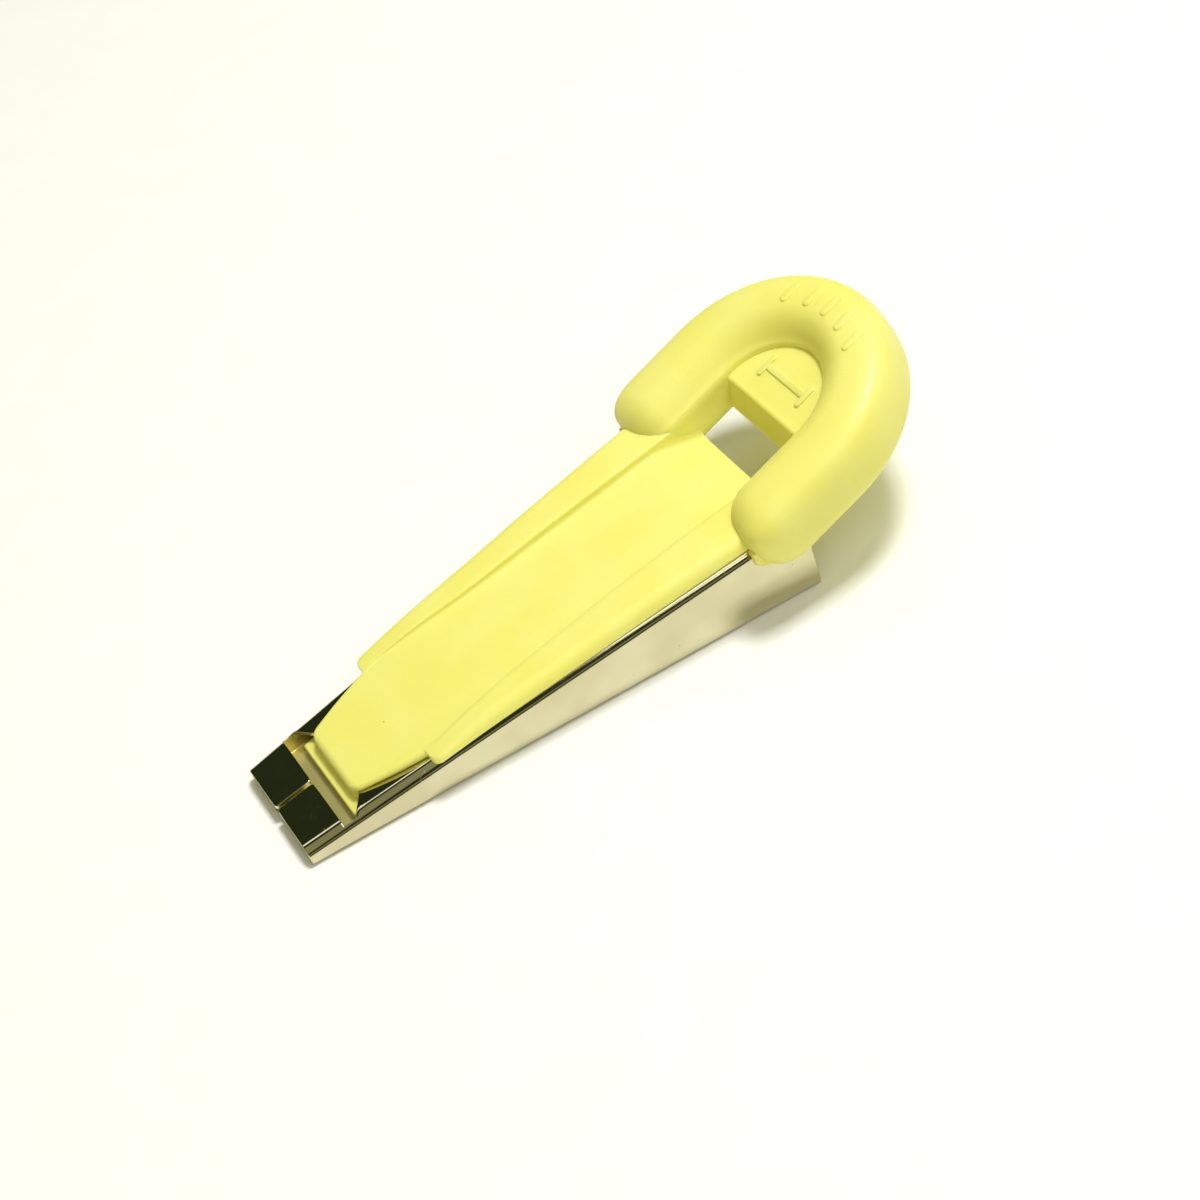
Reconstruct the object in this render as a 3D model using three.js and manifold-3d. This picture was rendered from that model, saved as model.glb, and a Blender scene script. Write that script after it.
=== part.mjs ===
// Bias tape maker for 12 mm tape: a folded, plated steel channel with a moulded guide slid into it.
// Lengths are millimetres. +X runs from the narrow exit to the pull ring, +Z is up, and z = 0 is the
// face it stands on. Stations below are measured from the exit, and the assembly is moved at the end
// so that the origin is under the middle of the whole object.
import * as THREE from "three";
import { mergeVertices } from "three/addons/utils/BufferGeometryUtils.js";
import Module from "manifold-3d";

// ---------------------------------------------------------------- driving dimensions
// Steel folder
const FOLDER_LENGTH = 49.8;
const SHEET = 0.45;
const BEND_RADIUS = 0.71;
const EXIT_HALF_WIDTH = 6.5;
const ENTRY_HALF_WIDTH = 10.67;
const EXIT_HEIGHT = 1.88;
const ENTRY_HEIGHT = 8.25;
const FRONT_LIP_LENGTH = 3.8;
const SLIT_HALF_WIDTH = 0.15;
const REAR_LIP_START = { x: 5.0, y: 6.5 };
const REAR_LIP_CORNER = { x: 6.45, y: 4.45 };
const SLOT_HALF_WIDTH_AT_ENTRY = 7.2;
const CUT_FLOOR = 0.95;

// Moulded guide
const RUNNING_GAP = 0.1;
const SEAM = 0.02;
const STEM_SIDE_GAP = 0.15;
const TIP_X = 5.9;
const RAIL_START = 12.8;
const RAMP_START = 44.4;
const PANEL_END = 49.6;
const INNER_WALL = 5.6;
const RAIL_OVERHANG = 0.5;
const RAIL_EDGE_RADIUS = 1.4;
const CORE_START = 5.1;

// Heights above the lips and half widths, as [station, value] pairs
const TONGUE_HALF_WIDTHS = [[5.9, 3.5], [6.0, 3.95], [6.4, 4.45], [8.0, 5.05], [10.0, 5.65], [12.8, 6.3]];
const INNER_EDGE = [[12.8, 6.3], [16.0, 6.12], [19.4, 5.9], [22.8, 5.65], [26.2, 5.6], [49.8, 5.6]];
const PANEL_RISE = [[5.9, 0.3], [6.4, 0.48], [12.8, 0.85], [22.0, 1.1], [RAMP_START, 1.05]];
const RAIL_RISE = [[12.8, 0.8], [14.2, 1.2], [16, 1.46], [19.4, 1.68], [26.2, 1.75], [33, 1.92], [49.8, 1.8]];
const PANEL_END_HEIGHT = 7.3;

// Core plate inside the channel, as values at its two ends
const CORE_HALF_WIDTHS = [[CORE_START, 5.25], [PANEL_END, 9.0]];
const CORE_TOPS = [[CORE_START, 1.53], [PANEL_END, 6.85]];
const CORE_BOTTOMS = [[CORE_START, 0.9], [PANEL_END, 5.1]];

// Pull ring, in its own tilted plane
const RING_TILT = THREE.MathUtils.degToRad(18.5);
const RING_CENTRE = { x: 54.0, z: 10.78 };
const RING_BAR_HALF_WIDTH = 3.7;
const RING_BAR_HALF_HEIGHT = 3.55;
const RING_INNER_RADIUS = INNER_WALL;
const RING_LEG_LENGTH = 10.1;
const RING_END_ROUNDING = 3.4;
const RING_SECTION_POWER = 2.5;
const RING_CREASE = 1.1;
const RING_LOWER_EDGE = 1.2;
const LEG_CLEARANCE_HALF_WIDTH = 10.85;
const FOLDER_END_GAP = 0.2;

// Web that fills the arch of the ring
const WEB_FRONT_TOP = { x: 53.5, z: 11.75 };
const WEB_FRONT_BOTTOM = { x: 53.0, z: 8.67 };

// Raised width mark on the web: a bar between two end ticks
const MARK_HEIGHT = 0.25;
const MARK_CENTRE_X = 56.3;
const MARK_HALF_SPAN = 3.0;
const MARK_TICK_HALF_LENGTH = 1.1;
const MARK_STROKE_HALF = 0.3;

// Raised grip ribs across the top of the ring
const RIB_X = 9.3;
const RIB_SPACING = 2.2;
const RIB_COUNT = 5;
const RIB_HALF_LENGTH = 1.5;
const RIB_HALF_WIDTH = 0.45;
const RIB_RISE = 0.22;

// Snap hook under the front end of each leg, outside the folder's wall
const HOOK_START = 43.7;
const HOOK_END = 47.0;
const HOOK_OUTER = 11.75;
const HOOK_DEPTH = 1.1;
const HOOK_EASE = 0.45;

const YELLOW = 0xf4ee7a;
const STEEL = 0xc9c4ae;

// ---------------------------------------------------------------- helpers
const wasm = await Module();
wasm.setup();

function solid(geometry) {
  const bare = new THREE.BufferGeometry();
  bare.setAttribute("position", geometry.getAttribute("position"));
  if (geometry.index) bare.setIndex(geometry.index);
  const merged = mergeVertices(bare, 1e-4);
  return new wasm.Manifold(
    new wasm.Mesh({
      numProp: 3,
      vertProperties: merged.attributes.position.array,
      triVerts: new Uint32Array(merged.index.array),
    }),
  );
}

function geometryOf(manifold) {
  const mesh = manifold.getMesh();
  const geometry = new THREE.BufferGeometry();
  geometry.setAttribute("position", new THREE.BufferAttribute(new Float32Array(mesh.vertProperties), 3));
  geometry.setIndex(new THREE.BufferAttribute(new Uint32Array(mesh.triVerts), 1));
  const flat = geometry.toNonIndexed();
  flat.computeVertexNormals();
  return flat;
}

function along(table, x) {
  if (x <= table[0][0]) return table[0][1];
  for (let i = 1; i < table.length; i++) {
    const [x0, v0] = table[i - 1];
    const [x1, v1] = table[i];
    if (x <= x1) return v0 + ((v1 - v0) * (x - x0)) / (x1 - x0);
  }
  return table[table.length - 1][1];
}

const { mapLinear } = THREE.MathUtils;
const halfWidthAt = (x) => mapLinear(x, 0, FOLDER_LENGTH, EXIT_HALF_WIDTH, ENTRY_HALF_WIDTH);
const lipTopAt = (x) => mapLinear(x, 0, FOLDER_LENGTH, EXIT_HEIGHT, ENTRY_HEIGHT);
const slotHalfAt = (x) =>
  mapLinear(x, REAR_LIP_CORNER.x, FOLDER_LENGTH, REAR_LIP_CORNER.y, SLOT_HALF_WIDTH_AT_ENTRY);
const plateFloorAt = (x) => lipTopAt(x) + RUNNING_GAP;
const plateUndersideAt = (x) => lipTopAt(x) + RUNNING_GAP / 2;

function panelTopAt(x) {
  const rampTop = lipTopAt(RAMP_START) + along(PANEL_RISE, RAMP_START);
  if (x <= RAMP_START) return lipTopAt(x) + along(PANEL_RISE, x);
  return mapLinear(x, RAMP_START, PANEL_END, rampTop, PANEL_END_HEIGHT);
}

// A closed solid through sections that hold the same number of points in the same order.
function loft(sections) {
  const count = sections[0].length;
  const points = sections.flat();
  const faces = [];
  for (let s = 0; s + 1 < sections.length; s++) {
    for (let i = 0; i < count; i++) {
      const a = s * count + i;
      const b = s * count + ((i + 1) % count);
      faces.push(a, b, b + count, a, b + count, a + count);
    }
  }
  const capOf = (first, reversed) => {
    const ring = points.slice(first, first + count);
    const normal = ringNormal(ring);
    const flat = ring.map((p) => flatten(p, normal));
    for (const [a, b, c] of THREE.ShapeUtils.triangulateShape(flat, [])) {
      faces.push(first + a, first + (reversed ? c : b), first + (reversed ? b : c));
    }
  };
  capOf(0, true);
  capOf((sections.length - 1) * count, false);
  const geometry = new THREE.BufferGeometry().setFromPoints(points);
  geometry.setIndex(faces);
  const made = solid(geometry);
  if (made.volume() > 0) return made;
  for (let i = 0; i < faces.length; i += 3) [faces[i + 1], faces[i + 2]] = [faces[i + 2], faces[i + 1]];
  geometry.setIndex(faces);
  return solid(geometry);
}

function ringNormal(ring) {
  const normal = new THREE.Vector3();
  ring.forEach((p, i) => {
    const q = ring[(i + 1) % ring.length];
    normal.add(new THREE.Vector3().crossVectors(p, q));
  });
  return normal.normalize();
}

function flatten(point, normal) {
  const side = new THREE.Vector3(0, 1, 0).cross(normal);
  if (side.length() < 0.1) side.set(1, 0, 0);
  side.normalize();
  const up = new THREE.Vector3().crossVectors(normal, side);
  return new THREE.Vector2(point.dot(side), point.dot(up));
}

const section = (x, outline) => outline.map(([y, z]) => new THREE.Vector3(x, y, z));

// An upright prism from an outline of [x, y] pairs.
function prism(outline, bottom, top) {
  const shape = new THREE.Shape(outline.map(([x, y]) => new THREE.Vector2(x, y)));
  const geometry = new THREE.ExtrudeGeometry(shape, { depth: top - bottom, bevelEnabled: false });
  geometry.translate(0, 0, bottom);
  return solid(geometry);
}

function mirrored(outline) {
  return [...outline, ...outline.map(([x, y]) => [x, -y]).reverse()];
}

// ---------------------------------------------------------------- steel folder
function roundedBox(half, bottom, top, radius) {
  const corners = [
    [half - radius, bottom + radius, -90],
    [half - radius, top - radius, 0],
    [-half + radius, top - radius, 90],
    [-half + radius, bottom + radius, 180],
  ];
  const cornerSteps = 5;
  return corners.flatMap(([y, z, start]) =>
    Array.from({ length: cornerSteps + 1 }, (_, i) => {
      const angle = THREE.MathUtils.degToRad(start + (90 * i) / cornerSteps);
      return [y + radius * Math.cos(angle), z + radius * Math.sin(angle)];
    }),
  );
}

function folderShell() {
  const outer = [0, FOLDER_LENGTH].map((x) =>
    section(x, roundedBox(halfWidthAt(x), 0, lipTopAt(x), BEND_RADIUS)),
  );
  const inner = [-1, FOLDER_LENGTH + 1].map((x) =>
    section(x, roundedBox(halfWidthAt(x) - SHEET, SHEET, lipTopAt(x) - SHEET, BEND_RADIUS - SHEET)),
  );
  const slitEnd = FRONT_LIP_LENGTH + SHEET;
  const slitOutline = mirrored([[-1, SLIT_HALF_WIDTH], [slitEnd, SLIT_HALF_WIDTH]]);
  const slit = prism(slitOutline, CUT_FLOOR, EXIT_HEIGHT * 2);
  const wallAt = (x) => halfWidthAt(x) - SHEET;
  const windowOutline = mirrored([
    [FRONT_LIP_LENGTH, wallAt(FRONT_LIP_LENGTH)],
    [REAR_LIP_START.x, wallAt(REAR_LIP_START.x)],
    [REAR_LIP_CORNER.x, REAR_LIP_CORNER.y],
    [FOLDER_LENGTH + 1, slotHalfAt(FOLDER_LENGTH + 1)],
  ]);
  const opening = prism(windowOutline, CUT_FLOOR, ENTRY_HEIGHT * 2);
  return loft(outer).subtract(loft(inner)).subtract(slit).subtract(opening);
}

// ---------------------------------------------------------------- guide plate: tongue, panel and stem
function slab(x, half, bottom, top, ease) {
  return section(x, [
    [-half, bottom],
    [half, bottom],
    [half, top - ease],
    [half - ease, top],
    [-half + ease, top],
    [-half, top - ease],
  ]);
}

function guidePlate() {
  const tongueStations = [...TONGUE_HALF_WIDTHS.map(([x]) => x), 16, 19.4, 22.8, 26.2, 33];
  const halfAt = (x) => (x <= RAIL_START ? along(TONGUE_HALF_WIDTHS, x) : along(INNER_EDGE, x)) - SEAM;
  const upper = [...tongueStations, RAMP_START, 46.4].map((x) =>
    slab(x, halfAt(x), plateUndersideAt(x), panelTopAt(x), x < RAIL_START ? 0.15 : 0.03),
  );
  const coreTop = (x) => along(CORE_TOPS, x) + SEAM;
  const noseEnd = REAR_LIP_CORNER.x + 1;
  const stemHalf = (x) => (x < noseEnd ? 4.2 : slotHalfAt(x) - STEM_SIDE_GAP);
  const stem = [TIP_X, 6.2, noseEnd, PANEL_END].map((x) =>
    slab(x, x < 6 ? 3.6 : stemHalf(x), coreTop(x), plateFloorAt(x) - SEAM, 0.02),
  );
  const trough = [RAMP_START, PANEL_END + 1].map((x) =>
    section(x, [
      [-INNER_WALL, panelTopAt(x)],
      [INNER_WALL, panelTopAt(x)],
      [INNER_WALL, ENTRY_HEIGHT * 2],
      [-INNER_WALL, ENTRY_HEIGHT * 2],
    ]),
  );
  return loft(upper).add(loft(stem)).subtract(loft(trough));
}

// ---------------------------------------------------------------- rails over the lips
function railOutline(x, side) {
  const inner = along(INNER_EDGE, x);
  const outer = halfWidthAt(x) + RAIL_OVERHANG;
  const bottom = plateFloorAt(x);
  const top = lipTopAt(x) + along(RAIL_RISE, x);
  const radius = Math.min(RAIL_EDGE_RADIUS, (top - bottom) * 0.85);
  const arc = [0, 22.5, 45, 67.5, 90].map((degrees) => {
    const angle = THREE.MathUtils.degToRad(degrees);
    return [outer - radius + radius * Math.cos(angle), top - radius + radius * Math.sin(angle)];
  });
  const outline = [[inner, bottom], [outer, bottom], ...arc, [inner + 0.1, top], [inner, top - 0.1]];
  return section(x, outline.map(([y, z]) => [side * y, z]));
}

function frontRail(side) {
  const sections = [12.8, 13.4, 14.2, 16, 19.4, 22.8, 26.2, 33, 40, 48].map((x) => railOutline(x, side));
  const keepOut = ring(SEAM);
  return loft(sections).subtract(keepOut);
}

// ---------------------------------------------------------------- core plate inside the channel
function foldCore() {
  const ends = [CORE_START, PANEL_END].map((x) =>
    slab(x, along(CORE_HALF_WIDTHS, x), along(CORE_BOTTOMS, x), along(CORE_TOPS, x), 0.12),
  );
  return loft(ends);
}

// ---------------------------------------------------------------- pull ring
function barOutline(extra) {
  const half = RING_BAR_HALF_WIDTH + extra;
  const height = RING_BAR_HALF_HEIGHT + extra;
  const power = 2 / RING_SECTION_POWER;
  const outline = [];
  for (let degrees = -90; degrees <= 90; degrees += 15) {
    const angle = THREE.MathUtils.degToRad(degrees);
    const cos = Math.abs(Math.cos(angle)) ** power;
    const sin = Math.abs(Math.sin(angle)) ** power * Math.sign(Math.sin(angle));
    outline.push([half * cos, height * sin]);
  }
  for (let degrees = 105; degrees <= 180; degrees += 15) {
    const angle = THREE.MathUtils.degToRad(degrees);
    outline.push([half * Math.cos(angle), RING_CREASE + (height - RING_CREASE) * Math.sin(angle)]);
  }
  outline.push([-half, -height + RING_LOWER_EDGE]);
  outline.push([-half + RING_LOWER_EDGE * 0.3, -height + RING_LOWER_EDGE * 0.3]);
  outline.push([-half + RING_LOWER_EDGE, -height]);
  return outline;
}

// Stations along the horseshoe: a point on the middle line, the outward direction there, and a scale
// that rounds off the two free ends.
function ringPath() {
  const radius = RING_INNER_RADIUS + RING_BAR_HALF_WIDTH;
  const path = [];
  const leg = [];
  for (const degrees of [8, 25, 42, 59, 76, 90]) {
    const angle = THREE.MathUtils.degToRad(degrees);
    leg.push({ u: -RING_LEG_LENGTH + RING_END_ROUNDING * (1 - Math.cos(angle)), scale: Math.sin(angle) });
  }
  leg.push({ u: -RING_LEG_LENGTH * 0.35, scale: 1 });
  for (const { u, scale } of leg) path.push({ u, v: radius, du: 0, dv: 1, scale });
  for (let degrees = 90; degrees >= -90; degrees -= 9) {
    const angle = THREE.MathUtils.degToRad(degrees);
    const du = Math.cos(angle);
    const dv = Math.sin(angle);
    path.push({ u: radius * du, v: radius * dv, du, dv, scale: 1 });
  }
  for (const { u, scale } of leg.reverse()) path.push({ u, v: -radius, du: 0, dv: -1, scale });
  return path;
}

function tilted(u, v, w) {
  const cos = Math.cos(RING_TILT);
  const sin = Math.sin(RING_TILT);
  return new THREE.Vector3(RING_CENTRE.x + u * cos - w * sin, v, RING_CENTRE.z + u * sin + w * cos);
}

function ring(extra = 0) {
  const outline = barOutline(extra);
  const sections = ringPath().map(({ u, v, du, dv, scale }) =>
    outline.map(([r, w]) => tilted(u + du * r * scale, v + dv * r * scale, w * scale)),
  );
  return loft(sections);
}

function web() {
  const slope = Math.tan(RING_TILT);
  const reach = RING_INNER_RADIUS + 0.8;
  const outlineAt = ({ x, z }) => {
    const points = [];
    for (let degrees = -90; degrees <= 90; degrees += 15) {
      const angle = THREE.MathUtils.degToRad(degrees);
      const px = x + reach * Math.cos(angle) * Math.cos(RING_TILT);
      points.push(new THREE.Vector3(px, reach * Math.sin(angle), z + slope * (px - x)));
    }
    return points;
  };
  return loft([outlineAt(WEB_FRONT_BOTTOM), outlineAt(WEB_FRONT_TOP)]);
}

// Room for the folder: the legs stand over its lips and hang down outside its walls.
function folderRoom() {
  const half = LEG_CLEARANCE_HALF_WIDTH;
  const sections = [RAIL_START, FOLDER_LENGTH + FOLDER_END_GAP].map((x) =>
    section(x, [[-half, -1], [half, -1], [half, plateFloorAt(x) + SEAM], [-half, plateFloorAt(x) + SEAM]]),
  );
  return loft(sections);
}

function gripRibs() {
  const ribs = [];
  for (let i = 0; i < RIB_COUNT; i++) {
    const v = (i - (RIB_COUNT - 1) / 2) * RIB_SPACING;
    const centre = Math.sqrt(RIB_X ** 2 - v ** 2);
    const corners = [
      [centre - RIB_HALF_LENGTH, v - RIB_HALF_WIDTH],
      [centre + RIB_HALF_LENGTH, v - RIB_HALF_WIDTH],
      [centre + RIB_HALF_LENGTH, v + RIB_HALF_WIDTH],
      [centre - RIB_HALF_LENGTH, v + RIB_HALF_WIDTH],
    ];
    const top = RING_BAR_HALF_HEIGHT + RIB_RISE;
    ribs.push(loft([1, top].map((w) => corners.map(([u, y]) => tilted(u, y, w)))));
  }
  return ribs;
}

function snapHook(side) {
  const outlineAt = (x, outer) =>
    section(x, [
      [side * LEG_CLEARANCE_HALF_WIDTH, lipTopAt(x) - HOOK_DEPTH],
      [side * outer, lipTopAt(x) - HOOK_DEPTH],
      [side * outer, lipTopAt(x) + HOOK_DEPTH],
      [side * LEG_CLEARANCE_HALF_WIDTH, lipTopAt(x) + HOOK_DEPTH],
    ]);
  return loft([
    outlineAt(HOOK_START, HOOK_OUTER - HOOK_EASE),
    outlineAt(HOOK_START + HOOK_EASE, HOOK_OUTER),
    outlineAt(HOOK_END, HOOK_OUTER),
  ]);
}

function pullRing() {
  let made = ring().add(web());
  for (const rib of gripRibs()) made = made.add(rib);
  return made.subtract(folderRoom()).add(snapHook(1)).add(snapHook(-1));
}

// ---------------------------------------------------------------- width mark on the web
function widthMark() {
  const slope = Math.tan(RING_TILT);
  const topAt = (x) => WEB_FRONT_TOP.z + slope * (x - WEB_FRONT_TOP.x) + SEAM;
  const bar = [MARK_STROKE_HALF, MARK_HALF_SPAN];
  const pieces = [
    { x: MARK_CENTRE_X, y: 0, halfX: bar[0], halfY: bar[1] },
    { x: MARK_CENTRE_X, y: MARK_HALF_SPAN, halfX: MARK_TICK_HALF_LENGTH, halfY: MARK_STROKE_HALF },
    { x: MARK_CENTRE_X, y: -MARK_HALF_SPAN, halfX: MARK_TICK_HALF_LENGTH, halfY: MARK_STROKE_HALF },
  ];
  const made = pieces.map(({ x, y, halfX, halfY }) =>
    loft([0, MARK_HEIGHT].map((rise) =>
      [[x - halfX, y - halfY], [x + halfX, y - halfY], [x + halfX, y + halfY], [x - halfX, y + halfY]].map(
        ([px, py]) => new THREE.Vector3(px, py, topAt(px) + rise),
      ),
    )),
  );
  return made[0].add(made[1]).add(made[2]);
}

// ---------------------------------------------------------------- assembly
const steel = new THREE.MeshStandardMaterial({ color: STEEL, metalness: 1, roughness: 0.12 });
const plastic = new THREE.MeshStandardMaterial({ color: YELLOW, metalness: 0, roughness: 0.45 });

function part(name, manifold, material) {
  const mesh = new THREE.Mesh(geometryOf(manifold), material);
  mesh.name = name;
  return mesh;
}

const guide = new THREE.Group();
guide.add(part("guide_plate", guidePlate(), plastic));
guide.add(part("left_rail", frontRail(1), plastic));
guide.add(part("right_rail", frontRail(-1), plastic));
guide.add(part("fold_core", foldCore(), plastic));
guide.add(part("pull_ring", pullRing(), plastic));
guide.add(part("width_mark", widthMark(), plastic));

const tapeMaker = new THREE.Group();
tapeMaker.add(part("folder_shell", folderShell(), steel));
tapeMaker.add(guide);
const extent = new THREE.Box3().setFromObject(tapeMaker);
tapeMaker.position.x = -(extent.min.x + extent.max.x) / 2;

const root = new THREE.Group();
root.add(tapeMaker);

export default root;
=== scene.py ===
# %% [markdown]
# # A bias tape maker, cell by cell
# The object is a small sewing tool. Flat tape goes in at the wide end and comes out of the narrow end
# with both sides folded in. It is two real things: a folded channel of plated steel, and a yellow
# moulding that slides in it and ends in a pull ring. Each piece below stands on measures that come
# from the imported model, so the pictures and the simulation show one and the same object.

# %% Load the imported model
import math
import bmesh
import bpy
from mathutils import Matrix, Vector


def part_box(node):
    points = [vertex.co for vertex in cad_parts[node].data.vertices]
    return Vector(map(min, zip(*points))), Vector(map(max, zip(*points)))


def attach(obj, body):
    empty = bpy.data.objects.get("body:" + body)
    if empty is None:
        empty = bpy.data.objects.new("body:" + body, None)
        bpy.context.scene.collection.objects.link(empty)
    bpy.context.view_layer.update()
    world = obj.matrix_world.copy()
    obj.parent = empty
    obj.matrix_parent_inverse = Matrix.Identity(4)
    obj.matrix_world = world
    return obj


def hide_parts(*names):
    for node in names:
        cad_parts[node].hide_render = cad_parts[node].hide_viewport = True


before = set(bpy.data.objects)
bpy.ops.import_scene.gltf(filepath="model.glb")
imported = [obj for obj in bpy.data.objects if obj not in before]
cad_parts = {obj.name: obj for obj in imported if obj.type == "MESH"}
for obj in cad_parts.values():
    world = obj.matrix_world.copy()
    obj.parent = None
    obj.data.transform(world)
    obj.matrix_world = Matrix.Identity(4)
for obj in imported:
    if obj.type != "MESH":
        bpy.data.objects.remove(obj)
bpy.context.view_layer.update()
MM = 0.001

# %% [markdown]
# ## Measures that everything shares
# The steel channel tapers in width and in height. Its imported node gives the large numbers, and the
# sheet's own numbers, such as its thickness and the radii of its bends, are named here. The upper
# bends open out a little towards the wide end. A place along the tool is called a station: its
# distance in millimetres from the narrow exit.

# %% Stations and the channel's taper
folder_low, folder_high = [Vector(corner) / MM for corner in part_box("folder_shell")]
EXIT_X = folder_low.x
FOLDER_LENGTH = folder_high.x - folder_low.x
ENTRY_HALF_WIDTH = folder_high.y
ENTRY_HEIGHT = folder_high.z
EXIT_HALF_WIDTH = 6.5
EXIT_HEIGHT = 1.88
SHEET = 0.45
BEND_RADII = [[0, 1.15], [12.0, 1.2], [45.0, 1.46], [50.0, 1.46]]
FLOOR_BEND_RADIUS = 0.55


def taper(station, at_exit, at_entry):
    return at_exit + (at_entry - at_exit) * station / FOLDER_LENGTH


def half_width_at(station):
    return taper(station, EXIT_HALF_WIDTH, ENTRY_HALF_WIDTH)


def lip_top_at(station):
    return taper(station, EXIT_HEIGHT, ENTRY_HEIGHT)


print("channel length, mm:", round(FOLDER_LENGTH, 2))
print("half width at the entry, mm:", round(ENTRY_HALF_WIDTH, 2))

# %% [markdown]
# ## Small tools for building meshes
# Most surfaces here are skins: rows of points, each row one cross-section, joined by four-sided
# faces. A skin has even, flowing faces, which shade well on a mirror-like metal and on a soft
# moulding. Points are written in stations and millimetres, and one function moves them to their place
# in the shared frame, in metres.

# %% Curves through a few points, arcs and even steps
def along(table, station):
    """A smooth curve through [station, value] pairs, flat beyond its ends."""
    if station <= table[0][0]:
        return table[0][1]
    if station >= table[-1][0]:
        return table[-1][1]
    last = max(i for i in range(len(table) - 1) if table[i][0] <= station)
    (x0, v0), (x1, v1) = table[last], table[last + 1]
    before = table[max(last - 1, 0)]
    after = table[min(last + 2, len(table) - 1)]
    slope0 = (v1 - before[1]) / (x1 - before[0])
    slope1 = (after[1] - v0) / (after[0] - x0)
    t = (station - x0) / (x1 - x0)
    span = x1 - x0
    start = (2 * t**3 - 3 * t**2 + 1) * v0 + (t**3 - 2 * t**2 + t) * span * slope0
    return start + (3 * t**2 - 2 * t**3) * v1 + (t**3 - t**2) * span * slope1


def steps(start, stop, count):
    """count + 1 even values from start to stop."""
    return [start + (stop - start) * i / count for i in range(count + 1)]


def arc(centre_y, centre_z, radius, start, stop, count):
    angles = [math.radians(degrees) for degrees in steps(start, stop, count)]
    return [(centre_y + radius * math.cos(a), centre_z + radius * math.sin(a)) for a in angles]


# %% Mesh makers
WELD_DISTANCE = 0.0004
MOULDED_SMOOTH = 38
PRESSED_SMOOTH = 35


def place(station, y, z):
    return Vector((EXIT_X + station, y, z)) * MM


def grid_faces(bm, rows, closed=False):
    """Join rows of points with four-sided faces, and round on itself across the rows if closed."""
    verts = [[bm.verts.new(point) for point in row] for row in rows]
    count = len(rows[0])
    for row, following in zip(verts, verts[1:]):
        for i in range(count if closed else count - 1):
            j = (i + 1) % count
            bm.faces.new((row[i], row[j], following[j], following[i]))
    return verts


def shade_by_angle(piece, smooth_degrees):
    piece.data.set_sharp_from_angle(angle=math.radians(smooth_degrees))


def finish_mesh(bm, name, smooth_degrees):
    """Weld the seams, turn all faces outwards and shade as smooth below the given angle."""
    bmesh.ops.remove_doubles(bm, verts=bm.verts, dist=WELD_DISTANCE * MM)
    bmesh.ops.dissolve_degenerate(bm, edges=bm.edges, dist=WELD_DISTANCE / 2 * MM)
    bmesh.ops.recalc_face_normals(bm, faces=bm.faces)
    mesh = bpy.data.meshes.new(name)
    bm.to_mesh(mesh)
    bm.free()
    for polygon in mesh.polygons:
        polygon.use_smooth = True
    piece = bpy.data.objects.new(name, mesh)
    shade_by_angle(piece, smooth_degrees)
    bpy.context.collection.objects.link(piece)
    return piece


def closed_skin(name, rows, smooth_degrees=MOULDED_SMOOTH):
    """A solid from closed rows of points, with a face over the first row and one over the last."""
    bm = bmesh.new()
    verts = grid_faces(bm, rows, closed=True)
    bm.faces.new(verts[0])
    bm.faces.new(verts[-1][::-1])
    return finish_mesh(bm, name, smooth_degrees)


def open_edge_count(piece):
    bm = bmesh.new()
    bm.from_mesh(piece.data)
    count = sum(1 for edge in bm.edges if not edge.is_manifold)
    bm.free()
    return count


def report(piece):
    open_edges = open_edge_count(piece)
    print(piece.name, "faces:", len(piece.data.polygons), "open edges:", open_edges)


# %% [markdown]
# ## The camera
# The tool lies across the picture with its exit at the lower left and its ring at the upper right,
# seen from above its near side. A long lens at a hand's reach keeps the taper's true proportions.

# %% Camera
CAMERA_PLACE = (-0.04304, -0.15608, 0.15481)
CAMERA_TURN = (44.645, 15.502, -30.633)
FOCAL_LENGTH = 75.9
SENSOR_WIDTH = 36.0
lens = bpy.data.cameras.new("table_camera")
lens.lens = FOCAL_LENGTH
lens.sensor_width = SENSOR_WIDTH
lens.clip_start = 0.01
camera = bpy.data.objects.new("table_camera", lens)
camera.location = CAMERA_PLACE
camera.rotation_euler = [math.radians(degrees) for degrees in CAMERA_TURN]
bpy.context.collection.objects.link(camera)
bpy.context.scene.camera = camera
print("camera distance to the origin, m:", round(camera.location.length, 3))

# %% [markdown]
# ## The steel folder's shape
# The real channel is cut from flat sheet and folded in a press. Its floor and side walls are one
# strip, and the strip's edges fold in over the top as two pairs of lips. Short front lips almost meet
# and leave a slit, then comes an open window where a pin can push the tape, and long rear lips with a
# slanted front edge hold the moulding's stem in the slot between them. Cutting these openings out of
# a finished tube would leave long thin faces. Here the floor, walls and bends are one skin, and each
# lip is a patch of its own that shares its edge points with that skin.

# %% Lip outlines in plan
FRONT_LIP_LENGTH = 3.8
SLIT_HALF_WIDTH = 0.17
SLIT_CORNER = 0.36
REAR_LIP_START = 5.0
REAR_LIP_CORNER = (6.45, 4.45)
SLOT_HALF_WIDTH_AT_ENTRY = 7.2


def wall_inside_at(station):
    return half_width_at(station) - SHEET


def rear_lip_edge_at(station):
    corner_x, corner_y = REAR_LIP_CORNER
    if station < corner_x:
        t = (station - REAR_LIP_START) / (corner_x - REAR_LIP_START)
        return wall_inside_at(REAR_LIP_START) * (1 - t) + corner_y * t
    t = (station - corner_x) / (FOLDER_LENGTH - corner_x)
    return corner_y + (SLOT_HALF_WIDTH_AT_ENTRY - corner_y) * t


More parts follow.
